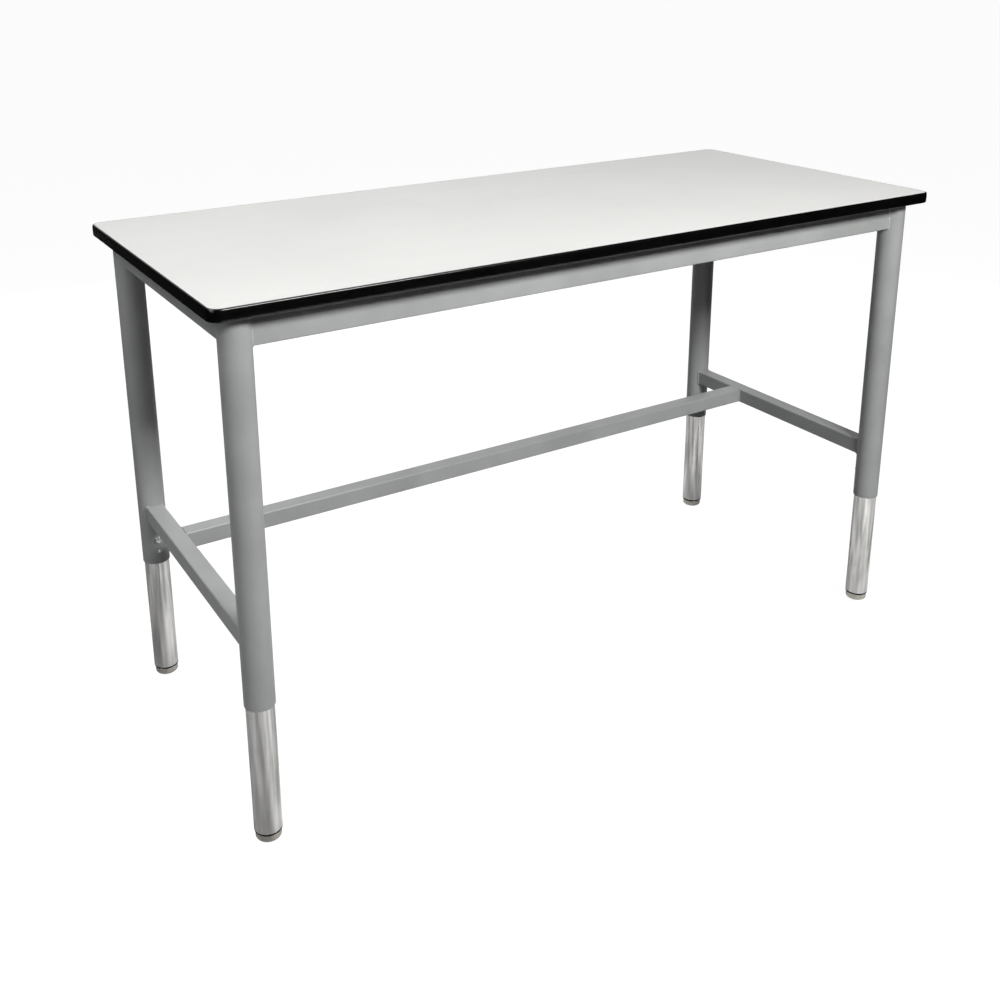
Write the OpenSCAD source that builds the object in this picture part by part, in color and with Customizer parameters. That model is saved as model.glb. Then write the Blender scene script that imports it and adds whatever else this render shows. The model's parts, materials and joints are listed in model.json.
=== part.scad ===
// Height-adjustable workbench: a laminated worktop with a rounded edge moulding on a welded
// steel frame. Its four outer legs are round tubes, and a plated inner leg slides in each one.
// Units are millimetres. The origin is on the floor under the middle of the worktop, +X runs
// along the bench's length, +Y towards its rear and +Z up.

/* [Worktop] */
// Length of the worktop over its edge moulding
top_l = 1500; // [1200:10:1800]
// Depth of the worktop over its edge moulding
top_w = 650; // [600:10:800]
// Height of the work surface above the floor with the legs as drawn
top_z = 924; // [900:1:960]
// Thickness of the core board
board_t = 19; // [16:1:25]
// Thickness of each laminate sheet
laminate_t = 1; // [0.6:0.1:1.5]
// Radius of the worktop's corners in plan
corner_r = 20; // [20:1:40]
// Thickness of the edge moulding's face
edge_t = 4; // [3.5:0.1:6]
// Rounding of the edge moulding's two outer edges
edge_r = 3; // [1:0.1:3.4]
// Length of the moulding's tongue, pressed into the core board
tongue_l = 9; // [5:1:11]
// Thickness of the moulding's tongue
tongue_t = 2; // [1.5:0.1:3]

/* [Frame] */
// Overhang of the worktop beyond the legs on every side
overhang = 25; // [15:1:60]
// Outer diameter of the outer legs
outer_od = 50.8; // [48:0.1:60]
// Wall of the outer legs
outer_wall = 1.6; // [1.5:0.1:2.5]
// Height of the outer legs' lower ends above the floor
outer_z = 252; // [240:1:260]
// Height of the rectangular apron rails
rail_h = 50; // [40:1:60]
// Width of the rectangular apron rails
rail_w = 25; // [20:1:30]
// Side of the square stretchers
stretcher_w = 32; // [25:1:35]
// Height of the stretchers' upper faces above the floor
stretcher_z = 375; // [370:1:420]
// Distance of the centre stretcher behind the bench's middle
stretcher_y = 124; // [-150:1:150]
// Wall of the rails and stretchers
box_wall = 2; // [1.5:0.1:2.5]
// Outer corner radius of the rails and stretchers
box_r = 2.5; // [2:0.1:2.5]
// Thickness of the plates and tabs between the frame and the worktop
plate_t = 4; // [3:0.5:6]
// Radius of the weld beads
bead_r = 2.4; // [1.5:0.1:3]

/* [Inner legs] */
// Clearance all round between an inner leg and the bore that it slides in
leg_gap = 0.45; // [0.3:0.05:0.6]
// Wall of the inner legs
inner_wall = 1.5; // [1.2:0.1:2]
// Height of the inner legs' lower ends above the floor
inner_z = 18; // [17:0.5:20]
// Length of the inner legs
inner_l = 430; // [400:5:480]

/* [Feet] */
// Diameter of the foot pads
pad_d = 43.2; // [38:0.1:46]
// Height of the foot pads
pad_h = 15.1; // [13:0.1:15.5]
// Diameter of the threaded foot stems
stem_d = 10; // [8:1:12]
// Length of the foot stems
stem_l = 48; // [44:1:55]
// Diameter of the black flange between the inner leg and the pad
flange_d = 42.2; // [36:0.1:43]

/* [Locking screws] */
// Height of the large locking screws above the floor
lock_z = 303; // [295:1:315]
// Diameter of the large locking screws
lock_d = 8; // [6:1:8]
// Head diameter of the large locking screws
lock_head_d = 13; // [12:0.5:14]
// Height of the small set screws above the floor
set_z = 278; // [272:1:282]
// Diameter of the small set screws
set_d = 6; // [5:1:8]

/* [Hidden] */
$fn = 64;

// Signs of the four corners: left is -X and front is -Y
front_left = [-1, -1];
front_right = [1, -1];
rear_left = [-1, 1];
rear_right = [1, 1];
corners = [front_left, front_right, rear_left, rear_right];

// Worktop levels and the moulding's height
moulding_h = board_t + 2 * laminate_t;
underside_z = top_z - moulding_h;
core_z = underside_z + laminate_t;
sheet_l = top_l - 2 * edge_t;
sheet_w = top_w - 2 * edge_t;
sheet_r = corner_r - edge_t;

// Frame levels and leg centres
frame_z = underside_z - plate_t;
leg_x = top_l / 2 - overhang - outer_od / 2;
leg_y = top_w / 2 - overhang - outer_od / 2;
outer_r = outer_od / 2;
rail_mid_z = frame_z - rail_h / 2;
stretcher_mid_z = stretcher_z - stretcher_w / 2;

// Corner plates: reach from the leg centre towards the bench's middle, and where the screw goes
plate_reach = 44;
plate_screw = 31;
// Fixing tabs on the rails: width along the rail, reach inwards and where the screw goes
tab_w = 36;
tab_reach = 34;
tab_screw = 23;
tab_pitch = 420;
// Screws that hold the worktop
screw_d = 4.8;
screw_head_d = 9.5;
screw_head_t = 3;
screw_depth = 14;
screw_clear_d = 5.6;

// Working clearances: round threads and sliding fits, and between faces of separate moving pieces
thread_gap = 0.05;
face_gap = 0.3;
// How far a cut runs on beyond the faces that it passes through
cut_over = 1;
// Low boss under each large screw's head, and the low head itself
boss_d = 15.5;
boss_t = 1.2;
lock_head_t = 2.6;
lock_rim_r = 0.8;
lock_socket = 5;
lock_socket_depth = 2;
// Set screw: how far it stands out, and its socket
set_proud = 2.4;
set_socket = 3;
set_socket_depth = 2.4;

// Inner leg sizes that follow from the outer leg, and how near the locking screws' tips come
inner_od = outer_od - 2 * (outer_wall + leg_gap);
inner_bore = inner_od - 2 * inner_wall;
tip_r = inner_od / 2 + face_gap;

// Plastic parts in the inner legs
guide_d = outer_od - 2 * (outer_wall + thread_gap);
guide_t = 6;
guide_spigot = 15;
insert_l = 25;
pad_edge_r = 5;
pad_shoulder_r = 2.5;
stem_z = 4;

// A rectangle with round corners, centred on the origin
module rounded_rect(width, depth, radius) {
    square([width - 2 * radius, depth], center = true);
    square([width, depth - 2 * radius], center = true);
    for (x = [-1, 1], y = [-1, 1])
        translate([x * (width / 2 - radius), y * (depth / 2 - radius)])
            circle(r = radius);
}

// Drawn once with its centre on the axis of one leg
module at_leg(corner) {
    translate([corner[0] * leg_x, corner[1] * leg_y, 0]) children();
}

// Drawn at one leg with +X pointing inwards along the end frame, level with the height given
module facing_inwards(corner, height) {
    at_leg(corner) translate([0, 0, height]) rotate([0, 0, -90 * corner[1]]) children();
}

// A round bar along +X from one distance to another
module bar_x(start, end, diameter) {
    translate([start, 0, 0]) rotate([0, 90, 0]) cylinder(h = end - start, d = diameter);
}

// Hollow box section along +X, centred on the origin
module box_tube(length, width, height) {
    rotate([90, 0, 90])
        linear_extrude(height = length, center = true)
            difference() {
                rounded_rect(width, height, box_r);
                rounded_rect(width - 2 * box_wall, height - 2 * box_wall, box_r - box_wall / 2);
            }
}

// Solid cores of all four outer legs, used to cope the members that meet them
module outer_leg_cores() {
    for (corner = corners)
        at_leg(corner) cylinder(h = frame_z + cut_over, r = outer_r);
}

// ---- Worktop ----

// The edge moulding's cross-section: x is the distance outwards from the board's edge
module moulding_profile() {
    intersection() {
        square([edge_t, moulding_h]);
        translate([0, moulding_h / 2]) rounded_rect(2 * edge_t, moulding_h, edge_r);
    }
}

// The tongue's cross-section, running inwards from the board's edge
module tongue_profile() {
    translate([-tongue_l, moulding_h / 2 - tongue_t / 2]) square([tongue_l, tongue_t]);
}

// Carries a cross-section round the edge of the board, with a quarter turn at each corner
module around_board() {
    run_x = sheet_l / 2 - sheet_r;
    run_y = sheet_w / 2 - sheet_r;
    for (side = [0, 1]) {
        rotate([0, 0, 180 * side]) {
            translate([run_x + sheet_r, run_y, underside_z])
                rotate([90, 0, 0]) linear_extrude(height = 2 * run_y) children();
            translate([-run_x, run_y + sheet_r, underside_z])
                rotate([90, 0, 90]) linear_extrude(height = 2 * run_x) children();
            translate([run_x, run_y, underside_z])
                rotate_extrude(angle = 90) translate([sheet_r, 0]) children();
            translate([-run_x, run_y, underside_z])
                rotate([0, 0, 90]) rotate_extrude(angle = 90) translate([sheet_r, 0]) children();
        }
    }
}

// Where the screws pass up into the worktop
module at_screws() {
    for (corner = corners)
        translate([corner[0] * (leg_x - plate_screw), corner[1] * (leg_y - plate_screw), frame_z])
            children();
    for (side = [-1, 1]) {
        for (step = [-1:1])
            translate([step * tab_pitch, side * (leg_y - tab_screw), frame_z]) children();
        translate([side * (leg_x - tab_screw), 0, frame_z]) children();
    }
}

// The worktop screws' pilot holes, through the tabs' level and up into the board
module screw_pilots() {
    at_screws() cylinder(h = plate_t + screw_depth, d = screw_d);
}

module worktop_core() {
    color("burlywood")
        difference() {
            translate([0, 0, core_z])
                linear_extrude(height = board_t) rounded_rect(sheet_l, sheet_w, sheet_r);
            around_board() tongue_profile();
            screw_pilots();
        }
}

module worktop_laminate() {
    color("gainsboro")
        translate([0, 0, top_z - laminate_t])
            linear_extrude(height = laminate_t) rounded_rect(sheet_l, sheet_w, sheet_r);
}

module underside_laminate() {
    color("whitesmoke")
        difference() {
            translate([0, 0, underside_z])
                linear_extrude(height = laminate_t) rounded_rect(sheet_l, sheet_w, sheet_r);
            screw_pilots();
        }
}

module edge_moulding() {
    color("black") {
        around_board() moulding_profile();
        around_board() tongue_profile();
    }
}

module worktop_screws() {
    color("silver")
        at_screws() {
            cylinder(h = plate_t + screw_depth, d = screw_d);
            translate([0, 0, -screw_head_t]) cylinder(h = screw_head_t, d = screw_head_d);
        }
}

// ---- Frame ----

module outer_leg(corner) {
    color("darkgray")
        difference() {
            at_leg(corner)
                translate([0, 0, outer_z])
                    difference() {
                        cylinder(h = frame_z - outer_z, r = outer_r);
                        translate([0, 0, -cut_over])
                            cylinder(h = frame_z - outer_z + 2 * cut_over, r = outer_r - outer_wall);
                    }
            facing_inwards(corner, lock_z) bar_x(0, outer_r + cut_over, lock_d + 2 * thread_gap);
            facing_inwards(corner, set_z) bar_x(0, outer_r + cut_over, set_d + 2 * thread_gap);
        }
}

module apron_rail_long(side) {
    color("darkgray")
        difference() {
            translate([0, side * leg_y, rail_mid_z]) box_tube(2 * leg_x, rail_w, rail_h);
            outer_leg_cores();
        }
}

module apron_rail_short(side) {
    color("darkgray")
        difference() {
            translate([side * leg_x, 0, rail_mid_z])
                rotate([0, 0, 90]) box_tube(2 * leg_y, rail_w, rail_h);
            outer_leg_cores();
        }
}

module end_stretcher(side) {
    color("darkgray")
        difference() {
            translate([side * leg_x, 0, stretcher_mid_z])
                rotate([0, 0, 90]) box_tube(2 * leg_y, stretcher_w, stretcher_w);
            outer_leg_cores();
        }
}

module centre_stretcher() {
    color("darkgray")
        translate([0, stretcher_y, stretcher_mid_z])
            box_tube(2 * leg_x - stretcher_w, stretcher_w, stretcher_w);
}

// Clearance holes for the worktop screws in the plates and tabs
module screw_clearances() {
    at_screws() translate([0, 0, -cut_over]) cylinder(h = plate_t + 2 * cut_over, d = screw_clear_d);
}

// Plates that close the outer legs and carry the worktop's corner screws
module leg_top_plates() {
    color("dimgray")
        for (corner = corners)
            difference() {
                at_leg(corner)
                    translate([0, 0, frame_z])
                        linear_extrude(height = plate_t) {
                            circle(r = outer_r - outer_wall / 2);
                            translate([corner[0] < 0 ? 0 : -plate_reach, corner[1] < 0 ? 0 : -plate_reach])
                                square(plate_reach);
                        }
                screw_clearances();
            }
}

module rail_tab() {
    translate([-tab_w / 2, -tab_reach, frame_z])
        cube([tab_w, tab_reach + rail_w / 2 - box_r, plate_t]);
}

module rail_fixing_tabs() {
    color("dimgray")
        difference() {
            for (turn = [0, 180])
                rotate([0, 0, turn]) {
                    for (step = [-1:1])
                        translate([step * tab_pitch, leg_y, 0]) rail_tab();
                    translate([leg_x, 0, 0]) rotate([0, 0, -90]) rail_tab();
                }
            screw_clearances();
        }
}

// Threaded bosses under the large locking screws
module lock_bosses() {
    color("darkgray")
        for (corner = corners)
            difference() {
                facing_inwards(corner, lock_z) bar_x(0, outer_r + boss_t, boss_d);
                at_leg(corner) cylinder(h = frame_z, r = outer_r);
                facing_inwards(corner, lock_z) bar_x(0, outer_r + boss_t + cut_over, lock_d + 2 * thread_gap);
            }
}

// ---- Weld beads ----

// Beads where a box member of the given size leaves an outer leg along +X: one up each side, and a
// curved one under it and, if asked for, over it. The member and the leg are cut away.
module joint_beads(width, height, over) {
    side_x = sqrt(pow(outer_r, 2) - pow(width / 2, 2));
    spread = asin((width / 2 - box_r) / outer_r);
    difference() {
        union() {
            for (side = [-1, 1])
                translate([side_x, side * width / 2, -height / 2 + box_r])
                    cylinder(h = height - 2 * box_r, r = bead_r);
            for (level = over ? [-1, 1] : [-1])
                translate([0, 0, level * height / 2])
                    rotate([0, 0, -spread])
                        rotate_extrude(angle = 2 * spread)
                            translate([outer_r, 0]) circle(r = bead_r);
        }
        cylinder(h = height + 4 * bead_r, r = outer_r, center = true);
        translate([0, -width / 2, -height / 2]) cube([2 * outer_r, width, height]);
    }
}

module apron_weld_beads() {
    color("gray")
        for (corner = corners)
            at_leg(corner)
                translate([0, 0, rail_mid_z]) {
                    rotate([0, 0, corner[0] < 0 ? 0 : 180]) joint_beads(rail_w, rail_h, false);
                    rotate([0, 0, -90 * corner[1]]) joint_beads(rail_w, rail_h, false);
                }
}

module stretcher_weld_beads() {
    color("gray") {
        for (corner = corners)
            at_leg(corner)
                translate([0, 0, stretcher_mid_z])
                    rotate([0, 0, -90 * corner[1]]) joint_beads(stretcher_w, stretcher_w, true);
        difference() {
            for (end = [-1, 1], side = [-1, 1])
                translate([end * (leg_x - stretcher_w / 2), stretcher_y + side * stretcher_w / 2, 0])
                    translate([0, 0, stretcher_mid_z])
                        cylinder(h = stretcher_w - 2 * box_r, r = bead_r, center = true);
            for (end = [-1, 1])
                translate([end * leg_x, stretcher_y, stretcher_mid_z])
                    cube([stretcher_w, stretcher_w + 4 * bead_r, stretcher_w], center = true);
            translate([0, stretcher_y, stretcher_mid_z])
                cube([2 * leg_x, stretcher_w, stretcher_w], center = true);
        }
    }
}

// ---- Inner legs ----

// Plated tube with a rolled lower end
module inner_leg(corner) {
    color("lightgray")
        at_leg(corner)
            translate([0, 0, inner_z])
                rotate_extrude() {
                    translate([inner_od / 2 - inner_wall, inner_wall / 2])
                        square([inner_wall, inner_l - inner_wall / 2]);
                    translate([(inner_od - inner_wall) / 2, inner_wall / 2]) circle(d = inner_wall);
                }
}

// Plug that caps the inner leg and guides it in the outer leg's bore
module guide_plug(corner) {
    color("ivory")
        at_leg(corner)
            translate([0, 0, inner_z + inner_l]) {
                cylinder(h = guide_t, d = guide_d);
                translate([0, 0, -guide_spigot]) cylinder(h = guide_spigot, d = inner_bore);
            }
}

// Threaded plug in the inner leg's lower end, with the black flange that shows under it
module foot_insert(corner) {
    flange_z = pad_h + face_gap;
    color("black")
        at_leg(corner)
            difference() {
                union() {
                    translate([0, 0, flange_z]) cylinder(h = inner_z - flange_z, d = flange_d);
                    translate([0, 0, inner_z]) cylinder(h = insert_l, d = inner_bore);
                }
                cylinder(h = inner_z + insert_l + cut_over, d = stem_d + 2 * thread_gap);
            }
}

// ---- Levelling feet ----

// Pad with a rounded lower edge, a softened shoulder and a blind hole for the stem
module foot_pad(corner) {
    pad_r = pad_d / 2;
    color("silver")
        at_leg(corner)
            difference() {
                rotate_extrude() {
                    square([pad_r - pad_edge_r, pad_h]);
                    translate([0, pad_edge_r]) square([pad_r, pad_h - pad_edge_r - pad_shoulder_r]);
                    translate([pad_r - pad_edge_r, pad_edge_r]) circle(r = pad_edge_r);
                    translate([0, pad_edge_r]) square([pad_r - pad_shoulder_r, pad_h - pad_edge_r]);
                    translate([pad_r - pad_shoulder_r, pad_h - pad_shoulder_r]) circle(r = pad_shoulder_r);
                }
                translate([0, 0, stem_z]) cylinder(h = pad_h, d = stem_d);
            }
}

module foot_stem(corner) {
    color("silver")
        at_leg(corner) translate([0, 0, stem_z]) cylinder(h = stem_l, d = stem_d);
}

// ---- Locking screws ----

// Low-headed socket screw whose tip presses on the inner leg through the boss
module lock_screw(corner) {
    head_x = outer_r + boss_t + face_gap;
    rim_x = head_x + lock_head_t - lock_rim_r;
    color("silver")
        facing_inwards(corner, lock_z)
            difference() {
                union() {
                    bar_x(tip_r, head_x, lock_d);
                    bar_x(head_x, rim_x, lock_head_d);
                    translate([rim_x, 0, 0])
                        rotate([0, 90, 0])
                            rotate_extrude() {
                                square([lock_head_d / 2 - lock_rim_r, lock_rim_r]);
                                translate([lock_head_d / 2 - lock_rim_r, 0]) circle(r = lock_rim_r);
                            }
                }
                translate([head_x + lock_head_t - lock_socket_depth, 0, 0])
                    rotate([0, 90, 0])
                        cylinder(h = lock_socket_depth + cut_over, d = lock_socket / cos(30), $fn = 6);
            }
}

// Headless screw under the large one
module set_screw(corner) {
    color("silver")
        facing_inwards(corner, set_z)
            difference() {
                bar_x(tip_r, outer_r + set_proud, set_d);
                translate([outer_r + set_proud - set_socket_depth, 0, 0])
                    rotate([0, 90, 0])
                        cylinder(h = set_socket_depth + cut_over, d = set_socket / cos(30), $fn = 6);
            }
}

worktop_core();
worktop_laminate();
underside_laminate();
edge_moulding();
outer_leg(front_left);  // front_left_outer_leg
outer_leg(front_right);  // front_right_outer_leg
outer_leg(rear_left);  // rear_left_outer_leg
outer_leg(rear_right);  // rear_right_outer_leg
apron_rail_long(-1);  // front_apron_rail
apron_rail_long(1);  // rear_apron_rail
apron_rail_short(-1);  // left_apron_rail
apron_rail_short(1);  // right_apron_rail
end_stretcher(-1);  // left_end_stretcher
end_stretcher(1);  // right_end_stretcher
centre_stretcher();
leg_top_plates();
rail_fixing_tabs();
worktop_screws();
lock_bosses();
apron_weld_beads();
stretcher_weld_beads();
inner_leg(front_left);  // front_left_inner_leg
inner_leg(front_right);  // front_right_inner_leg
inner_leg(rear_left);  // rear_left_inner_leg
inner_leg(rear_right);  // rear_right_inner_leg
guide_plug(front_left);  // front_left_guide_plug
guide_plug(front_right);  // front_right_guide_plug
guide_plug(rear_left);  // rear_left_guide_plug
guide_plug(rear_right);  // rear_right_guide_plug
foot_insert(front_left);  // front_left_foot_insert
foot_insert(front_right);  // front_right_foot_insert
foot_insert(rear_left);  // rear_left_foot_insert
foot_insert(rear_right);  // rear_right_foot_insert
foot_pad(front_left);  // front_left_foot_pad
foot_pad(front_right);  // front_right_foot_pad
foot_pad(rear_left);  // rear_left_foot_pad
foot_pad(rear_right);  // rear_right_foot_pad
foot_stem(front_left);  // front_left_foot_stem
foot_stem(front_right);  // front_right_foot_stem
foot_stem(rear_left);  // rear_left_foot_stem
foot_stem(rear_right);  // rear_right_foot_stem
lock_screw(front_left);  // front_left_lock_screw
lock_screw(front_right);  // front_right_lock_screw
lock_screw(rear_left);  // rear_left_lock_screw
lock_screw(rear_right);  // rear_right_lock_screw
set_screw(front_left);  // front_left_set_screw
set_screw(front_right);  // front_right_set_screw
set_screw(rear_left);  // rear_left_set_screw
set_screw(rear_right);  // rear_right_set_screw
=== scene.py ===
"""The looks of a height-adjustable workbench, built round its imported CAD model.

Units are metres. The origin is on the floor under the worktop's middle, +X runs to the right,
+Y to the rear and +Z up. CAD nodes whose shape is right keep it and get a better material. The
edge moulding, weld beads, screws, foot inserts and threaded stems are replaced by pieces with
finer shapes.
"""
import json
import math
import random

import bmesh
import bpy
from mathutils import Matrix, Vector


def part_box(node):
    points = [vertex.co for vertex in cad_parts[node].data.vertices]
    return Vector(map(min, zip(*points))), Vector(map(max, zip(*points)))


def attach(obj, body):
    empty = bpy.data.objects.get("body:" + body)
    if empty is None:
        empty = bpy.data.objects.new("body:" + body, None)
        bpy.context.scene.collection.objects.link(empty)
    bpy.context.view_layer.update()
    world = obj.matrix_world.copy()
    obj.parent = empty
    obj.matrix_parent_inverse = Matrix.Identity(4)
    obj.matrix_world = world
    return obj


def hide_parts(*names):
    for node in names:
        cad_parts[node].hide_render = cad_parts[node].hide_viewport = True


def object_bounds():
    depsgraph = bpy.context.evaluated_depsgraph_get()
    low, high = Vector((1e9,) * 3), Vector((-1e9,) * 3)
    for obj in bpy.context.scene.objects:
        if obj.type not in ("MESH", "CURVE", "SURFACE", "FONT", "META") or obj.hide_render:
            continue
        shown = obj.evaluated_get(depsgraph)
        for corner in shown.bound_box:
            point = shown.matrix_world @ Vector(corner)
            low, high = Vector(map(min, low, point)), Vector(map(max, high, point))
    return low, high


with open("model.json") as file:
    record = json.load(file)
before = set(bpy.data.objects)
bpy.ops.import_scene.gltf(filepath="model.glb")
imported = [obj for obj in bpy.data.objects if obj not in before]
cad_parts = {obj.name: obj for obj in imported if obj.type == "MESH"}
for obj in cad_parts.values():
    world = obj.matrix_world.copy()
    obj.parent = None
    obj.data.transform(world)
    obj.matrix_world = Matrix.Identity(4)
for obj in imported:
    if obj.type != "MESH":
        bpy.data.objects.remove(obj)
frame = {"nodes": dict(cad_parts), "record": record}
cad_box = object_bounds()
nodes = frame["nodes"]
scene = bpy.context.scene

MM = 0.001
CORNERS = {
    "front_left": (-1, -1),
    "front_right": (1, -1),
    "rear_left": (-1, 1),
    "rear_right": (1, 1),
}


# ---- Materials ----

# The colour sockets of a Mix node, which has sockets of the same names for its other data types
COLOR_A = 6
COLOR_B = 7
COLOR_RESULT = 2


class Finish:
    """A Principled material whose textures are in the object's own metres.

    Sizes and bump depths are in metres; a texture's source runs from 0 to 1.
    """

    def __init__(self, name, metallic=0.0, **constants):
        self.material = bpy.data.materials.new(name)
        self.material.use_nodes = True
        self.tree = self.material.node_tree
        self.shader = self.tree.nodes["Principled BSDF"]
        self.shader.inputs["Metallic"].default_value = metallic
        for socket, value in constants.items():
            self.shader.inputs[socket.replace("_", " ")].default_value = value
        self.place = self.tree.nodes.new("ShaderNodeTexCoord").outputs["Object"]
        self.normal = None

    def join(self, source, target):
        self.tree.links.new(source, target)

    def mapped(self, stretch):
        """The object's coordinates, scaled along each axis."""
        node = self.tree.nodes.new("ShaderNodeMapping")
        node.inputs["Scale"].default_value = stretch
        self.join(self.place, node.inputs["Vector"])
        return node.outputs["Vector"]

    def noise(self, size, detail=2.0, stretch=(1, 1, 1), distortion=0.0):
        """Noise whose features are about size metres across, from 0 to 1."""
        node = self.tree.nodes.new("ShaderNodeTexNoise")
        node.inputs["Scale"].default_value = 1 / size
        node.inputs["Detail"].default_value = detail
        node.inputs["Distortion"].default_value = distortion
        self.join(self.mapped(stretch), node.inputs["Vector"])
        return node.outputs["Fac"]

    def cells(self, size, output="Distance", stretch=(1, 1, 1)):
        """Cells about size metres across: the distance from their middles, or a colour for each."""
        node = self.tree.nodes.new("ShaderNodeTexVoronoi")
        node.inputs["Scale"].default_value = 1 / size
        self.join(self.mapped(stretch), node.inputs["Vector"])
        return node.outputs[output]

    def span(self, source, low, high, start=0.3, end=0.7):
        """Maps source's range from start to end onto low to high."""
        node = self.tree.nodes.new("ShaderNodeMapRange")
        node.inputs["From Min"].default_value = start
        node.inputs["From Max"].default_value = end
        node.inputs["To Min"].default_value = low
        node.inputs["To Max"].default_value = high
        self.join(source, node.inputs["Value"])
        return node.outputs["Result"]

    def maths(self, operation, first, second):
        node = self.tree.nodes.new("ShaderNodeMath")
        node.operation = operation
        for index, value in enumerate((first, second)):
            if isinstance(value, (int, float)):
                node.inputs[index].default_value = value
            else:
                self.join(value, node.inputs[index])
        return node.outputs["Value"]

    def blend(self, factor, first, second):
        """A colour between two colours; each is a tuple or a socket."""
        node = self.tree.nodes.new("ShaderNodeMix")
        node.data_type = "RGBA"
        self.join(factor, node.inputs["Factor"])
        for index, value in ((COLOR_A, first), (COLOR_B, second)):
            if isinstance(value, tuple):
                node.inputs[index].default_value = (*value, 1)
            else:
                self.join(value, node.inputs[index])
        return node.outputs[COLOR_RESULT]

    def color(self, source):
        self.join(source, self.shader.inputs["Base Color"])

    def roughness(self, source):
        self.join(source, self.shader.inputs["Roughness"])

    def bump(self, height, depth):
        """Raises the surface by depth metres times height, over what was bumped before."""
        node = self.tree.nodes.new("ShaderNodeBump")
        node.inputs["Strength"].default_value = 1
        node.inputs["Distance"].default_value = depth
        self.join(height, node.inputs["Height"])
        if self.normal is not None:
            self.join(self.normal, node.inputs["Normal"])
        self.normal = node.outputs["Normal"]
        self.join(self.normal, self.shader.inputs["Normal"])


def laminate():
    """Satin laminate, pale warm grey, with a fine pebbled press texture and faint wipe marks."""
    f = Finish("laminate", Specular_IOR_Level=0.5)
    speckle = f.noise(0.0012, detail=3)
    cloud = f.noise(0.22, detail=4)
    wipes = f.noise(0.05, detail=5, stretch=(0.25, 1, 1), distortion=0.6)
    base = f.blend(f.span(cloud, 0, 1), (0.590, 0.588, 0.578), (0.625, 0.623, 0.612))
    f.color(f.blend(f.span(speckle, 0, 0.5), base, (0.54, 0.537, 0.522)))
    f.roughness(f.span(wipes, 0.37, 0.43))
    f.bump(f.noise(0.0016, detail=2), 0.00003)
    f.bump(f.noise(0.12, detail=1), 0.00008)
    return f.material


def backer():
    """Plain balancing sheet under the board, with light handling marks."""
    f = Finish("backer")
    marks = f.noise(0.09, detail=6, distortion=0.8)
    base = f.blend(f.span(marks, 0, 1, 0.45, 0.75), (0.62, 0.60, 0.55), (0.53, 0.51, 0.46))
    f.color(f.blend(f.span(f.noise(0.002, detail=2), 0, 0.35), base, (0.50, 0.48, 0.43)))
    f.roughness(f.span(marks, 0.5, 0.68))
    f.bump(f.noise(0.003, detail=3), 0.00004)
    return f.material


def core_board():
    """Pressed wood chips."""
    f = Finish("core_board")
    chips = f.cells(0.004, output="Color", stretch=(1, 0.6, 2.2))
    tone = f.span(f.noise(0.0008, detail=3), 0, 1)
    base = f.blend(tone, (0.44, 0.30, 0.16), (0.66, 0.50, 0.31))
    node = f.tree.nodes.new("ShaderNodeRGBToBW")
    f.join(chips, node.inputs["Color"])
    f.color(f.blend(f.span(node.outputs["Val"], 0, 0.6, 0.2, 0.8), base, (0.30, 0.19, 0.10)))
    f.roughness(f.span(tone, 0.75, 0.95, 0, 1))
    f.bump(f.noise(0.0015, detail=4), 0.0003)
    return f.material


def moulding():
    """Black moulding with a fine leathery grain and a slight shine."""
    f = Finish("moulding", Specular_IOR_Level=0.5)
    grain = f.cells(0.0013)
    wear = f.noise(0.03, detail=5)
    f.color(f.blend(f.span(wear, 0, 1, 0.4, 0.8), (0.0006, 0.0006, 0.0007), (0.0020, 0.0020, 0.0020)))
    f.roughness(f.span(f.noise(0.004, detail=4), 0.15, 0.25))
    f.bump(grain, 0.00004)
    f.bump(f.noise(0.0005, detail=2), 0.00001)
    return f.material


def frame_paint(name="frame_paint", tone=1.0, sheen=(0.28, 0.36), gloss=0.45):
    """Semi-gloss grey powder coat: orange peel, a slight unevenness and dust in the film.

    tone scales the paint's colour, sheen is its range of roughness and gloss its specular level.
    """
    f = Finish(name, Specular_IOR_Level=gloss)
    peel = f.noise(0.0022, detail=2)
    cloud = f.noise(0.08, detail=4)
    dust = f.cells(0.006)
    low = tuple(tone * c for c in (0.300, 0.309, 0.307))
    high = tuple(tone * c for c in (0.345, 0.356, 0.354))
    base = f.blend(f.span(cloud, 0, 1), low, high)
    f.color(f.blend(f.span(dust, 0.30, 0, 0.02, 0.09), base, (0.44, 0.45, 0.445)))
    f.roughness(f.span(f.noise(0.02, detail=5), *sheen))
    f.bump(peel, 0.00005)
    f.bump(f.noise(0.0009, detail=1), 0.000015)
    return f.material


def chrome():
    """Bright plating over drawn tube, whose faint lengthwise waves pull reflections into streaks, and whose
    colour runs in lighter and darker lengthwise bands: painted reflection streaks.
    """
    f = Finish("chrome", metallic=1.0, Anisotropic=0.5, Anisotropic_Rotation=0.25)
    tangent = f.tree.nodes.new("ShaderNodeTangent")
    tangent.direction_type = "RADIAL"
    tangent.axis = "Z"
    f.join(tangent.outputs["Tangent"], f.shader.inputs["Tangent"])
    lines = f.noise(0.0016, detail=4, stretch=(1, 1, 0.012))
    waves_and_painted_streaks = f.noise(0.008, detail=3, stretch=(1, 1, 0.04), distortion=0.2)
    marks = f.noise(0.02, detail=6, distortion=0.7)
    # Lighter and darker lengthwise bands in the plating's colour are painted reflection streaks; the same
    # noise bumps the real waves
    base = f.blend(f.span(waves_and_painted_streaks, 0, 1), (0.70, 0.69, 0.675), (0.98, 0.975, 0.965))
    f.color(f.blend(f.span(marks, 0, 0.3, 0.5, 0.8), base, (0.60, 0.575, 0.54)))
    f.roughness(f.maths("ADD", f.span(lines, 0.045, 0.10), f.span(marks, 0.0, 0.05, 0.5, 0.75)))
    f.bump(lines, 0.00001)
    f.bump(waves_and_painted_streaks, 0.00014)
    return f.material


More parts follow.
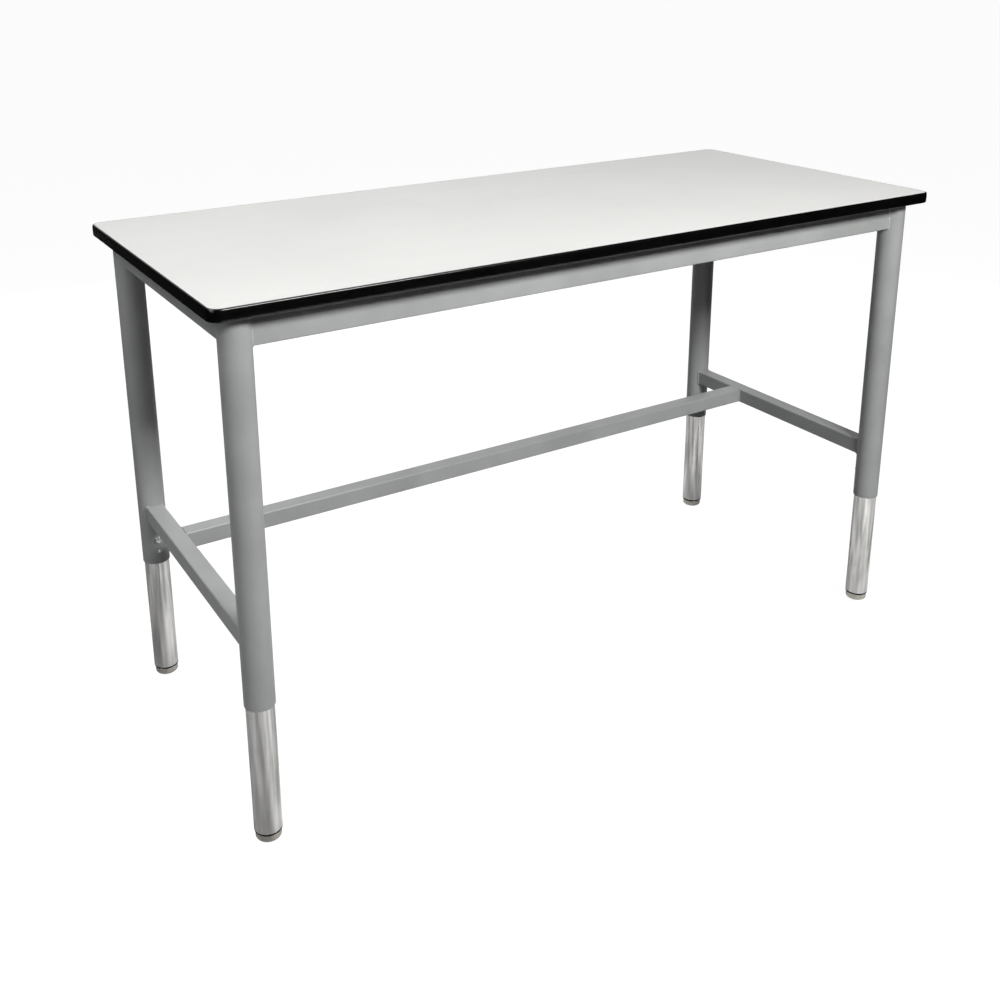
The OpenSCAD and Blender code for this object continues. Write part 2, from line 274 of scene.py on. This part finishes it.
def nickel():
    """Turned and nickel plated steel, with fine tool rings."""
    f = Finish("nickel", metallic=1.0)
    rings = f.noise(0.0007, detail=3, stretch=(0.02, 0.02, 1))
    clouds = f.noise(0.012, detail=3)
    base = f.blend(f.span(clouds, 0, 1), (0.66, 0.63, 0.56), (0.74, 0.715, 0.66))
    f.color(f.blend(f.span(rings, 0, 0.35), base, (0.52, 0.485, 0.42)))
    f.roughness(f.span(clouds, 0.24, 0.34))
    f.bump(rings, 0.00002)
    return f.material


def zinc():
    """Bright zinc plate with its mottled passivation."""
    f = Finish("zinc", metallic=1.0)
    mottle = f.noise(0.0022, detail=5)
    base = f.blend(f.span(mottle, 0, 1), (0.58, 0.60, 0.63), (0.74, 0.75, 0.76))
    f.color(f.blend(f.span(f.noise(0.009, detail=3), 0, 0.3), base, (0.66, 0.62, 0.50)))
    f.roughness(f.span(mottle, 0.22, 0.38))
    f.bump(f.noise(0.0006, detail=3), 0.00002)
    return f.material


def nylon():
    """Natural nylon with a moulded grain."""
    f = Finish("nylon", Subsurface_Weight=0.1, Subsurface_Scale=0.003)
    cloud = f.noise(0.01, detail=4)
    f.color(f.blend(f.span(cloud, 0, 1), (0.72, 0.70, 0.60), (0.80, 0.78, 0.70)))
    f.roughness(f.span(cloud, 0.38, 0.52))
    f.bump(f.noise(0.0008, detail=2), 0.00003)
    return f.material


def black_plastic():
    """Matt black moulded plastic."""
    f = Finish("black_plastic", Specular_IOR_Level=0.2)
    cloud = f.noise(0.006, detail=4)
    f.color(f.blend(f.span(cloud, 0, 1), (0.004, 0.004, 0.004), (0.010, 0.010, 0.010)))
    f.roughness(f.span(cloud, 0.42, 0.60))
    f.bump(f.cells(0.0007), 0.00004)
    return f.material


FINISHES = {
    "laminate": laminate(),
    "backer": backer(),
    "core_board": core_board(),
    "moulding": moulding(),
    "frame_paint": frame_paint(),
    # The beads' paint is the frame's made 15 % lighter: a painted highlight for the glints on the welds,
    # beside their real gloss
    "weld_paint": frame_paint("weld_paint", tone=1.15, sheen=(0.08, 0.16), gloss=0.9),
    "chrome": chrome(),
    "nickel": nickel(),
    "zinc": zinc(),
    "nylon": nylon(),
    "black_plastic": black_plastic(),
}

for part in frame["record"]["subparts"]:
    for slot in nodes[part["node"]].material_slots:
        slot.material = FINISHES[part["material_slot"]]


# ---- Mesh building ----


class Shape:
    """Vertices and faces gathered from one or more closed skins."""

    def __init__(self):
        self.verts = []
        self.faces = []

    def skin(self, rings, place=Matrix.Identity(4), wrap=False):
        """Joins a row of rings, each with the same number of points, and caps or wraps its ends."""
        first = len(self.verts)
        count = len(rings[0])
        self.verts += [place @ Vector(p) for ring in rings for p in ring]
        joined = len(rings) if wrap else len(rings) - 1
        for i in range(joined):
            a = first + i * count
            b = first + (i + 1) % len(rings) * count
            for j in range(count):
                k = (j + 1) % count
                self.faces.append((a + j, a + k, b + k, b + j))
        if not wrap:
            last = first + (len(rings) - 1) * count
            self.faces.append(tuple(range(first + count - 1, first - 1, -1)))
            self.faces.append(tuple(range(last, last + count)))

    def piece(self, name, body, slot_name, replaced, sharp=35):
        """Makes the gathered skins one object that rides on a body and stands for CAD nodes."""
        mesh = bpy.data.meshes.new(name)
        mesh.from_pydata(self.verts, [], self.faces)
        edit = bmesh.new()
        edit.from_mesh(mesh)
        bmesh.ops.recalc_face_normals(edit, faces=edit.faces)
        edit.to_mesh(mesh)
        edit.free()
        mesh.shade_smooth()
        mesh.set_sharp_from_angle(angle=math.radians(sharp))
        mesh.materials.append(FINISHES[slot_name])
        obj = bpy.data.objects.new(name, mesh)
        scene.collection.objects.link(obj)
        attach(obj, body)
        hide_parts(*replaced)


def quarter_turn(steps):
    """Angles from 0 to 90 degrees, in radians."""
    return [math.pi / 2 * i / steps for i in range(steps + 1)]


def round_ring(height, radius, count):
    """A ring about the Z axis; radius is a number or a function of the angle."""
    ring = []
    for i in range(count):
        angle = 2 * math.pi * i / count
        r = radius(angle) if callable(radius) else radius
        ring.append((r * math.cos(angle), r * math.sin(angle), height))
    return ring


def solids(node):
    """The lowest and highest corners of each separate solid in a CAD node, in order of place."""
    edit = bmesh.new()
    edit.from_mesh(nodes[node].data)
    bmesh.ops.remove_doubles(edit, verts=edit.verts, dist=1e-6)
    left = set(edit.verts)
    boxes = []
    while left:
        reached = [left.pop()]
        group = []
        while reached:
            vert = reached.pop()
            group.append(vert.co.copy())
            for edge in vert.link_edges:
                other = edge.other_vert(vert)
                if other in left:
                    left.remove(other)
                    reached.append(other)
        low = Vector(min(p[i] for p in group) for i in range(3))
        high = Vector(max(p[i] for p in group) for i in range(3))
        boxes.append((low, high))
    edit.free()
    # A set gives its vertices up in no fixed order, so the solids are put in one here
    return sorted(boxes, key=lambda box: tuple(box[0]))


# ---- Edge moulding ----

sheet_low, sheet_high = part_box("worktop_laminate")
edge_low, edge_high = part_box("edge_moulding")
# Corner radius of the sheets, and the moulding's own edge radius
SHEET_R = 16 * MM
EDGE_R = 3 * MM
# Steps round a corner of the board, round an edge of the moulding and across its face
ARC_STEPS = 18
TURN_STEPS = 6
FACE_STEPS = 6
# How proud the moulding's face is at its middle, and how far its edges lie under the sheets' faces
CROWN = 0.2 * MM
SHEET_STEP = 0.15 * MM
# Half the width of the butt joint in the moulding, at the rear's middle
JOINT_GAP = 0.15 * MM


def board_outline(step):
    """Points round the board's edge from the middle of its rear, each with its outward direction."""
    reach = Vector((sheet_high.x - SHEET_R, sheet_high.y - SHEET_R))
    turns = [(1, 1, 0), (-1, 1, 90), (-1, -1, 180), (1, -1, 270)]
    stops = []
    for x, y, start in turns:
        for i in range(ARC_STEPS + 1):
            angle = math.radians(start + 90 * i / ARC_STEPS)
            out = Vector((math.cos(angle), math.sin(angle)))
            stops.append((Vector((x * reach.x, y * reach.y)) + SHEET_R * out, out))
    rear = Vector((0, 1))
    joint = Vector((0, sheet_high.y))
    split = ARC_STEPS + 1
    stops = [(joint, rear)] + stops[split:] + stops[:split] + [(joint, rear)]
    points = [stops[0]]
    for (a, a_out), (b, b_out) in zip(stops, stops[1:]):
        pieces = max(1, math.ceil((b - a).length / step))
        for i in range(1, pieces + 1):
            t = i / pieces
            points.append((a.lerp(b, t), a_out.lerp(b_out, t).normalized()))
    return points


def edge_profile():
    """The moulding's section: outward distance and height, crowned face, small step to the sheets."""
    out = edge_high.x - sheet_high.x
    height = edge_high.z - edge_low.z
    turn = []
    for i in range(TURN_STEPS + 1):
        angle = math.radians(-90 + 75 * i / TURN_STEPS)
        turn.append((out - EDGE_R - CROWN + EDGE_R * math.cos(angle), EDGE_R + EDGE_R * math.sin(angle)))
    face = []
    for i in range(1, FACE_STEPS):
        t = i / FACE_STEPS
        bow = CROWN * (1 - (2 * t - 1) ** 2) * 0.5
        face.append((out - CROWN * 0.5 + bow, EDGE_R + (height - 2 * EDGE_R) * t))
    upper_turn = [(d, height - h) for d, h in reversed(turn)]
    return [(0, SHEET_STEP)] + turn + face + upper_turn + [(0, height - SHEET_STEP)]


def edge_moulding():
    """The moulding's section carried once round the board, with a fine butt joint at the rear."""
    section = edge_profile()
    points = board_outline(step=60 * MM)
    rings = []
    for i, (at, out) in enumerate(points):
        along = JOINT_GAP if i == 0 else -JOINT_GAP if i == len(points) - 1 else 0
        rings.append([(at.x + out.x * d - along, at.y + out.y * d, edge_low.z + h) for d, h in section])
    shape = Shape()
    shape.skin(rings)
    shape.piece("edge_moulding_trim", "bench_frame", "moulding", ["edge_moulding"])


edge_moulding()


# ---- Weld beads ----

leg_low, leg_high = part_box("front_right_outer_leg")
LEG_R = (leg_high.x - leg_low.x) / 2
LEG_X = (leg_high.x + leg_low.x) / 2
LEG_Y = -(leg_high.y + leg_low.y) / 2
# Corner radius of the rails and stretchers
BOX_R = 2.5 * MM
# A bead's radius, and the length of one of its ripples
BEAD_R = 2.3 * MM
RIPPLE = 2.1 * MM
RIPPLE_STEPS = 4
RIPPLE_DEPTH = 0.22
WELD_SEED = 7


def box_outline(width, height, over):
    """A box member's section round its middle, as points (y, z): all of it, or all but its top."""
    y, z = width / 2, height / 2
    corners = [(-y, -z, 180), (y, -z, 270), (y, z, 0), (-y, z, 90)]
    points = []
    for cy, cz, start in corners if over else corners[:2]:
        for i in range(5):
            angle = math.radians(start + 22.5 * i)
            inset_y = cy - math.copysign(BOX_R, cy)
            inset_z = cz - math.copysign(BOX_R, cz)
            points.append((inset_y + BOX_R * math.cos(angle), inset_z + BOX_R * math.sin(angle)))
    if over:
        return points + points[:1]
    top = z - BOX_R
    return [(-y, top)] + points + [(y, top)]


def even_steps(points, step):
    """The same line through points an even distance apart."""
    lengths = [(b - a).length for a, b in zip(points, points[1:])]
    total = sum(lengths)
    count = max(2, round(total / step))
    line = []
    for i in range(count + 1):
        left = total * i / count
        for (a, b), length in zip(zip(points, points[1:]), lengths):
            if left <= length or (b - points[-1]).length < 1e-9:
                line.append(a.lerp(b, min(1, left / max(length, 1e-9))))
                break
            left -= length
    return line


def bead(shape, points, place, dice, closed=False):
    """A rippled bead along a line, thicker and thinner from one ripple to the next."""
    line = even_steps(points, RIPPLE / RIPPLE_STEPS)
    if closed:
        line = line[:-1]
    sides = 10
    rings = []
    sizes = [dice.uniform(0.86, 1.12) for _ in range(len(line) // RIPPLE_STEPS + 2)]
    for i, at in enumerate(line):
        before = line[i - 1] if i or closed else at
        after = line[(i + 1) % len(line)] if i < len(line) - 1 or closed else at
        along = (after - before).normalized()
        if abs(along.x) > 0.9:
            across = along.orthogonal().normalized()
        else:
            across = along.cross(Vector((1, 0, 0))).normalized()
        up = along.cross(across)
        wave = 1 - RIPPLE_DEPTH * (i % RIPPLE_STEPS) / (RIPPLE_STEPS - 1)
        radius = BEAD_R * wave * sizes[i // RIPPLE_STEPS]
        if not closed:
            radius *= min(1, 0.45 + 0.2 * min(i, len(line) - 1 - i))
        ring = []
        for j in range(sides):
            angle = 2 * math.pi * j / sides
            ring.append(at + radius * (math.cos(angle) * across + math.sin(angle) * up))
        rings.append(ring)
    shape.skin(rings, place, wrap=closed)


def joint_bead(shape, width, height, over, place, dice):
    """The bead where a box member leaves a leg along +X."""
    line = [Vector((math.sqrt(LEG_R**2 - y**2), y, z)) for y, z in box_outline(width, height, over)]
    bead(shape, line, place, dice, closed=over)


def turned_to(corner, along_x, height):
    """Places a joint's bead at a leg, with +X along the member that leaves it."""
    x, y = CORNERS[corner]
    angle = (0 if x < 0 else 180) if along_x else -90 * y
    at = Matrix.Translation((x * LEG_X, y * LEG_Y, height))
    return at @ Matrix.Rotation(math.radians(angle), 4, "Z")


def weld_beads():
    """The beads at the rails' ends, at the end stretchers' ends and at the centre stretcher's."""
    dice = random.Random(WELD_SEED)
    low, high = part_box("front_apron_rail")
    width, height, level = high.y - low.y, high.z - low.z, (high.z + low.z) / 2
    apron = Shape()
    for corner in CORNERS:
        for along_x in (True, False):
            place = turned_to(corner, along_x, level)
            joint_bead(apron, width, height, over=False, place=place, dice=dice)
    apron.piece("apron_welds", "bench_frame", "weld_paint", ["apron_weld_beads"], sharp=80)

    low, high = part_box("centre_stretcher")
    side, level, middle = high.z - low.z, (high.z + low.z) / 2, (high.y + low.y) / 2
    stretcher = Shape()
    for corner in CORNERS:
        place = turned_to(corner, along_x=False, height=level)
        joint_bead(stretcher, side, side, over=True, place=place, dice=dice)
    for x in (low.x, high.x):
        for y in (-side / 2, side / 2):
            ends = [Vector((0, y, -side / 2 + BOX_R)), Vector((0, y, side / 2 - BOX_R))]
            bead(stretcher, ends, Matrix.Translation((x, middle, level)), dice)
    stretcher.piece("stretcher_welds", "bench_frame", "weld_paint", ["stretcher_weld_beads"], sharp=80)


weld_beads()


# ---- Threads, screws and stems ----


def thread(length, radius, pitch, count, steps, chamfer):
    """Rings of a threaded shank from height 0 up, steps to a turn, with a chamfer at its lower end."""
    depth = 0.6 * pitch
    rings = []
    total = math.ceil(length / pitch * steps)
    for i in range(total + 1):
        height = length * i / total
        room = radius - chamfer + height

        def edge(angle, height=height, room=room):
            phase = (height / pitch - angle / (2 * math.pi)) % 1
            # Flat crests and roots with straight flanks between them
            groove = min(1, max(0, 1.3 * abs(2 * phase - 1) - 0.15))
            return min(radius - depth * groove, room)

        rings.append(round_ring(height, edge, count))
    return rings


def hexagon(across):
    """Radius of a hexagonal socket at an angle, for its width across flats."""
    sixth = math.pi / 3
    return lambda angle: across / 2 / math.cos(angle % sixth - sixth / 2)


def cross(arm, width):
    """Radius of a cross-shaped recess at an angle."""
    quarter = math.pi / 2

    def edge(angle):
        off = abs((angle + quarter / 2) % quarter - quarter / 2)
        return min(arm / math.cos(off), width / 2 / max(math.sin(off), 1e-6))

    return edge


def scaled(radius, factor):
    """The same outline, larger or smaller; radius is a function of the angle."""
    return lambda angle: factor * radius(angle)


def socket_rings(top, depth, outline, count):
    """A recess from the face at height top: a small lead-in, walls and a sloping bottom."""
    lip = 0.12 * MM
    return [
        round_ring(top, scaled(outline, 1.06), count),
        round_ring(top - lip, outline, count),
        round_ring(top - depth, outline, count),
        round_ring(top - depth - 0.5 * MM, scaled(outline, 0.35), count),
    ]


def facing(corner, tip, low, high):
    """Places a screw drawn along +Z at a leg, its head towards the bench's middle."""
    y = CORNERS[corner][1]
    at = Matrix.Translation(((low.x + high.x) / 2, tip, (low.z + high.z) / 2))
    return at @ Matrix.Rotation(math.radians(90 * y), 4, "X")


def lock_screw(corner):
    """Low-headed screw: threaded shank, domed head and a hexagonal socket."""
    node = corner + "_lock_screw"
    low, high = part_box(node)
    count = 72
    head_r = (high.x - low.x) / 2
    length = high.y - low.y
    head_t = 2.6 * MM
    shank = length - head_t
    # The head's straight side, and the flat ring round its socket
    side = 0.8 * MM
    flat_r = 3.5 * MM
    rings = thread(shank, radius=4 * MM, pitch=1.25 * MM, count=count, steps=8, chamfer=0.7 * MM)
    rings.append(round_ring(shank, head_r - 0.4 * MM, count))
    rings.append(round_ring(shank + 0.3 * MM, head_r, count))
    for angle in quarter_turn(8):
        dome_r = flat_r + (head_r - flat_r) * math.cos(angle)
        rings.append(round_ring(shank + side + (head_t - side) * math.sin(angle), dome_r, count))
    rings += socket_rings(length, 1.5 * MM, hexagon(5 * MM), count)
    shape = Shape()
    tip = low.y if CORNERS[corner][1] < 0 else high.y
    shape.skin(rings, facing(corner, tip, low, high))
    shape.piece(node + "_detail", corner + "_lock", "zinc", [node], sharp=30)


def set_screw(corner):
    """Headless screw with a small hexagonal socket."""
    node = corner + "_set_screw"
    low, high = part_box(node)
    count = 48
    length = high.y - low.y
    radius = (high.x - low.x) / 2
    rings = thread(length - 0.5 * MM, radius, pitch=1.0 * MM, count=count, steps=8, chamfer=0.6 * MM)
    rings.append(round_ring(length - 0.4 * MM, radius - 0.3 * MM, count))
    rings.append(round_ring(length, radius - 0.7 * MM, count))
    rings += socket_rings(length, 1.8 * MM, hexagon(3 * MM), count)
    shape = Shape()
    tip = low.y if CORNERS[corner][1] < 0 else high.y
    shape.skin(rings, facing(corner, tip, low, high))
    shape.piece(node + "_detail", corner + "_set", "zinc", [node], sharp=30)


def foot_insert(corner):
    """Moulded insert in the tube's end: an eased flange, a tapered lead-in and a bore for the stem."""
    node = corner + "_foot_insert"
    low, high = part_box(node)
    tube_low, tube_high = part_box(corner + "_inner_leg")
    stem_low, stem_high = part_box(corner + "_foot_stem")
    tube_r = (tube_high.x - tube_low.x) / 2
    pad_gap = 0.05 * MM
    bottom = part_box(corner + "_foot_pad")[1].z + pad_gap
    flange_t = tube_low.z - bottom
    flange_r = tube_r - 0.3 * MM
    # The tube's wall and a little play
    plug_r = tube_r - 1.6 * MM
    bore_r = (stem_high.x - stem_low.x) / 2 + 0.1 * MM
    ease = 0.3 * MM
    top = high.z - bottom
    count = 64
    mid_r = flange_r - ease
    section = [(mid_r + ease * math.sin(a), ease - ease * math.cos(a)) for a in quarter_turn(4)]
    section += [(mid_r + ease * math.cos(a), flange_t - ease + ease * math.sin(a)) for a in quarter_turn(4)]
    section += [(plug_r, flange_t), (plug_r, top - 3 * MM), (plug_r - 1 * MM, top)]
    section += [(bore_r, top), (bore_r, 0)]
    shape = Shape()
    place = Matrix.Translation(((low.x + high.x) / 2, (low.y + high.y) / 2, bottom))
    shape.skin([round_ring(height, radius, count) for radius, height in section], place, wrap=True)
    shape.piece(node + "_trim", corner + "_leg", "black_plastic", [node])


def foot_stem(corner):
    """The threaded stem, its chamfered end up in the insert."""
    node = corner + "_foot_stem"
    low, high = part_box(node)
    radius = (high.x - low.x) / 2
    rings = thread(high.z - low.z, radius, pitch=1.5 * MM, count=36, steps=6, chamfer=0.8 * MM)
    turn_over = Matrix.Translation(((low.x + high.x) / 2, (low.y + high.y) / 2, high.z))
    shape = Shape()
    shape.skin(rings, turn_over @ Matrix.Rotation(math.pi, 4, "X"))
    shape.piece(node + "_thread", corner + "_foot", "zinc", [node], sharp=50)


def worktop_screws():
    """Pan-head wood screws, driven up through the plates and tabs."""
    count = 32
    shape = Shape()
    for low, high in solids("worktop_screws"):
        head_r = (high.x - low.x) / 2
        length = high.z - low.z
        head_t = 3 * MM
        shank = length - head_t
        rings = thread(shank, radius=2.4 * MM, pitch=2.2 * MM, count=count, steps=5, chamfer=2.0 * MM)
        rings.append(round_ring(shank, head_r - 0.25 * MM, count))
        rings.append(round_ring(shank + 0.25 * MM, head_r, count))
        # A pan head: its edge curves in towards the drive
        for i in range(6):
            t = i / 5
            under = head_t * 0.72 * (1 - t) ** 1.6
            rings.append(round_ring(length - under, head_r * (1 - 0.42 * t**1.5), count))
        rings += socket_rings(length, 1.6 * MM, cross(arm=2.3 * MM, width=1.1 * MM), count)
        place = Matrix.Translation(((low.x + high.x) / 2, (low.y + high.y) / 2, high.z))
        shape.skin(rings, place @ Matrix.Rotation(math.pi, 4, "X"))
    shape.piece("worktop_screws_detail", "bench_frame", "zinc", ["worktop_screws"], sharp=30)


for corner_name in CORNERS:
    lock_screw(corner_name)
    set_screw(corner_name)
    foot_insert(corner_name)
    foot_stem(corner_name)
worktop_screws()


# ---- Studio ----


def stage_finish(name, tone, glow):
    """A plain matt surface with an even glow."""
    material = bpy.data.materials.new(name)
    material.use_nodes = True
    shader = material.node_tree.nodes["Principled BSDF"]
    shader.inputs["Base Color"].default_value = (tone, tone, tone, 1)
    shader.inputs["Roughness"].default_value = 1
    shader.inputs["Specular IOR Level"].default_value = 0
    shader.inputs["Emission Color"].default_value = (1, 1, 1, 1)
    shader.inputs["Emission Strength"].default_value = glow
    return material


def patchy_finish(name, dark, bright, size, edge_x):
    """A matt surface with painted light and shade, which plating reflects as streaks: soft lighter and
    darker patches, and painted shade that makes it duller left of edge_x.
    """
    blur = 0.05
    f = Finish(name, Specular_IOR_Level=0)
    # Soft patches of painted light and shade
    patches = f.span(f.noise(size, detail=2, distortion=0.4), 0, 1, 0.38, 0.62)
    split = f.tree.nodes.new("ShaderNodeSeparateXYZ")
    f.join(f.place, split.inputs["Vector"])
    # Painted shade: duller left of edge_x, as though less light fell there
    side = f.span(split.outputs["X"], 0, 1, edge_x - blur, edge_x + blur)
    left = f.blend(patches, (0.8 * dark,) * 3, (0.62 * bright,) * 3)
    right = f.blend(patches, (1.3 * dark,) * 3, (1.15 * bright,) * 3)
    f.color(f.blend(side, left, right))
    f.roughness(f.span(patches, 0.9, 1.0))
    return f.material


def staged(name, edit, material, camera=False, diffuse=False, glossy=False):
    """A stage piece, and which rays meet it: the camera's, soft light's or reflections."""
    mesh = bpy.data.meshes.new(name)
    edit.to_mesh(mesh)
    edit.free()
    mesh.materials.append(material)
    obj = bpy.data.objects.new(name, mesh)
    scene.collection.objects.link(obj)
    obj.visible_camera = camera
    obj.visible_diffuse = diffuse
    obj.visible_glossy = glossy
    obj.visible_transmission = False
    obj.visible_shadow = False


# Radius of the studio, and of the bright floor that only reflections show
STUDIO_R = 60.0
MIRRORED_R = 1.7
# How far the floors lie under the feet, so that they hide no foot that is screwed out
FOOT_ROOM = 16 * MM
# Height between one floor and the next
FLOOR_GAP = 0.2 * MM


def disc(height, radius=STUDIO_R):
    """A level round sheet at a height."""
    edit = bmesh.new()
    bmesh.ops.create_circle(edit, cap_ends=True, segments=64, radius=radius)
    bmesh.ops.translate(edit, verts=edit.verts, vec=(0, 0, height))
    return edit


def card(low, high, y):
    """An upright sheet across the room, from (x, z) low to high."""
    edit = bmesh.new()
    corners = [(low[0], y, low[1]), (high[0], y, low[1]), (high[0], y, high[1]), (low[0], y, high[1])]
    edit.faces.new([edit.verts.new(c) for c in corners])
    return edit


def studio():
    """A pale floor and backdrop for the camera; a dull floor and a bright one for light and reflections."""
    ground = cad_box[0].z - FOOT_ROOM
    staged("floor", disc(ground), stage_finish("floor", tone=0.10, glow=0.965), camera=True)
    dull = stage_finish("dull_floor", tone=0.10, glow=0.0)
    staged("dull_floor", disc(ground - FLOOR_GAP), dull, diffuse=True)
    edge_x = 0.9 * cad_box[0].x
    # The bright floor that only reflections show carries painted light and shade: soft patches, and a
    # duller left side
    patches = patchy_finish("mirrored_floor", dark=0.28, bright=0.66, size=0.30, edge_x=edge_x)
    staged("mirrored_floor", disc(ground - 2 * FLOOR_GAP, MIRRORED_R), patches, glossy=True)
    wall = card(low=(-1, 0), high=(7, 5), y=4.0)
    staged("mirrored_wall", wall, stage_finish("mirrored_wall", tone=0.0, glow=0.75), glossy=True)
    dome = bmesh.new()
    bmesh.ops.create_uvsphere(dome, u_segments=48, v_segments=24, radius=STUDIO_R)
    staged("backdrop", dome, stage_finish("backdrop", tone=0.0, glow=1.0), camera=True)


def soft_light(name, at, aim, size, power, tint=(1, 1, 1)):
    """A softbox at a place, turned towards another, with its width and height and its power in watts."""
    lamp = bpy.data.lights.new(name, "AREA")
    lamp.shape = "RECTANGLE"
    lamp.size, lamp.size_y = size
    lamp.energy = power
    lamp.color = tint
    obj = bpy.data.objects.new(name, lamp)
    obj.location = at
    obj.rotation_euler = (Vector(aim) - Vector(at)).to_track_quat("-Z", "Y").to_euler()
    obj.visible_camera = False
    scene.collection.objects.link(obj)
    return obj


def surroundings():
    """Dim room round the bench: its tone changes with direction, which the plated parts reflect."""
    world = bpy.data.worlds.new("room")
    scene.world = world
    world.use_nodes = True
    tree = world.node_tree
    direction = tree.nodes.new("ShaderNodeTexCoord").outputs["Generated"]
    split = tree.nodes.new("ShaderNodeSeparateXYZ")
    tree.links.new(direction, split.inputs["Vector"])
    turn = tree.nodes.new("ShaderNodeMath")
    turn.operation = "ARCTAN2"
    tree.links.new(split.outputs["X"], turn.inputs[0])
    tree.links.new(split.outputs["Y"], turn.inputs[1])
    share = tree.nodes.new("ShaderNodeMapRange")
    share.inputs["From Min"].default_value = -math.pi
    share.inputs["From Max"].default_value = math.pi
    tree.links.new(turn.outputs["Value"], share.inputs["Value"])
    ramp = tree.nodes.new("ShaderNodeValToRGB")
    tree.links.new(share.outputs["Result"], ramp.inputs[0])
    # Headings in degrees from the rear, clockwise seen from above, and the room's tone there
    tones = [
        (-180, 0.16),
        (-140, 0.14),
        (-95, 0.16),
        (-40, 0.14),
        (20, 0.12),
        (70, 0.06),
        (110, 0.08),
        (150, 0.15),
        (180, 0.16),
    ]
    stops = ramp.color_ramp.elements
    while len(stops) < len(tones):
        stops.new(0.5)
    for stop, (heading, tone) in zip(stops, tones):
        stop.position = (heading + 180) / 360
        stop.color = (tone, tone, tone, 1)
    background = tree.nodes["Background"]
    tree.links.new(ramp.outputs["Color"], background.inputs["Color"])
    background.inputs["Strength"].default_value = 0.12


def lighting():
    """A key softbox at the front, two on the left, one overhead, and fills behind and on the right."""
    low, high = cad_box
    top_middle = ((low.x + high.x) / 2, (low.y + high.y) / 2, high.z)
    warm = (1.0, 0.997, 0.985)
    soft_light("key", (0.2, -2.2, 2.2), (0.0, low.y, 0.6), size=(1.1, 0.5), power=92, tint=warm)
    soft_light("left_box", (-2.0, 0.1, 2.6), (low.x, 0, 0.5), size=(1.0, 1.4), power=32)
    soft_light("left_low", (-2.8, -0.8, 1.4), (low.x, 0, 0.5), size=(1.2, 1.2), power=10)
    soft_light("over_box", (0.1, 0.9, 3.0), top_middle, size=(2.4, 1.2), power=20)
    for name, at, power in (("rear_fill", (0.9, 3.2, 0.8), 42), ("right_fill", (3.4, 0.4, 0.7), 20)):
        fill = soft_light(name, at, (at[0] / 2, 0, 0.6), size=(1.8, 1.2), power=power)
        fill.visible_glossy = False
    surroundings()


def camera():
    """The photo's viewpoint and heading, fitted again for less shift than the photo's own.

    With this shift the bench is whole in views from 5 to 25 degrees up.
    """
    at = Vector((-1.2348, -1.8278, 1.3941))
    heading, dip, roll = (math.radians(a) for a in (31.47, 16.57, -0.41))
    cam = bpy.data.cameras.new("camera")
    cam.sensor_width = 36
    cam.lens = 42.22
    cam.shift_x = 0.02
    cam.shift_y = -0.20
    cam.clip_start = 0.05
    cam.clip_end = 4 * STUDIO_R
    obj = bpy.data.objects.new("camera", cam)
    turned = Matrix.Rotation(-heading, 3, "Z")
    tipped = Matrix.Rotation(math.pi / 2 - dip, 3, "X")
    look = turned @ tipped @ Matrix.Rotation(roll, 3, "Z")
    obj.matrix_world = Matrix.Translation(at) @ look.to_4x4()
    scene.collection.objects.link(obj)
    scene.camera = obj


studio()
lighting()
camera()
scene.view_settings.view_transform = "Standard"
